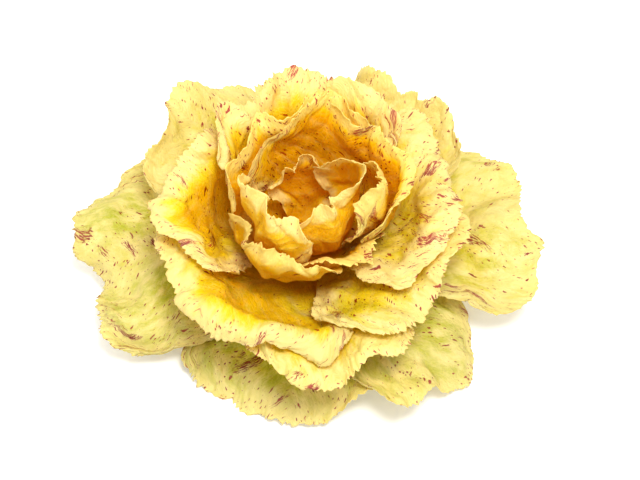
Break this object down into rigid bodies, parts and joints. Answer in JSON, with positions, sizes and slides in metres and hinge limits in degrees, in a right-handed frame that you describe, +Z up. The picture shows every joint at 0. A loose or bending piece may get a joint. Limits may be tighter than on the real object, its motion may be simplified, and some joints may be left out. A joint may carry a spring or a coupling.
{
  "type": "radicchio head",
  "caption": "Head of variegated radicchio opened like a rose: ruffled, red-flecked cream leaves in whorls on a short cut crown.",
  "frame": {"origin": "middle of the crown's flat cut, on the surface that the head stands on", "axes": "+Z up, away from the cut; +X to the right and -Y to the front, where the lowest leaves lie; millimetres in the source, metres in the row"},
  "size_m": [0.2652, 0.2203, 0.1185],
  "materials": {
    "crown": "matt, cut plant tissue",
    "outer_leaf": "satin leaf, yellow-green with cream margin and wine-red flecks",
    "middle_leaf": "satin leaf, cream-yellow with wine-red flecks",
    "inner_leaf": "satin leaf, yellow turning deep orange low down, with wine-red flecks",
    "heart_leaf": "satin leaf, pale yellow to orange, few flecks"
  },
  "bodies": {
    "root": {"crown": "crown", "outer_front_leaf": "outer_leaf", "outer_fright_leaf": "outer_leaf", "outer_left_leaf": "outer_leaf", "outer_right_leaf": "outer_leaf", "outer_back_leaf": "outer_leaf", "outer_bleft_leaf": "outer_leaf", "outer_bright_leaf": "outer_leaf", "mid_front_leaf": "middle_leaf", "mid_fleft_leaf": "middle_leaf", "mid_fright_leaf": "middle_leaf", "mid_left_leaf": "middle_leaf", "mid_right_leaf": "middle_leaf", "mid_back_leaf": "middle_leaf", "inner_fleft_leaf": "inner_leaf", "inner_fright_leaf": "inner_leaf", "inner_bleft_leaf": "inner_leaf", "inner_bright_leaf": "inner_leaf", "inner_right_leaf": "inner_leaf", "heart_left_leaf": "heart_leaf", "heart_back_leaf": "heart_leaf", "heart_front_leaf": "heart_leaf"}
  },
  "joints": []
}
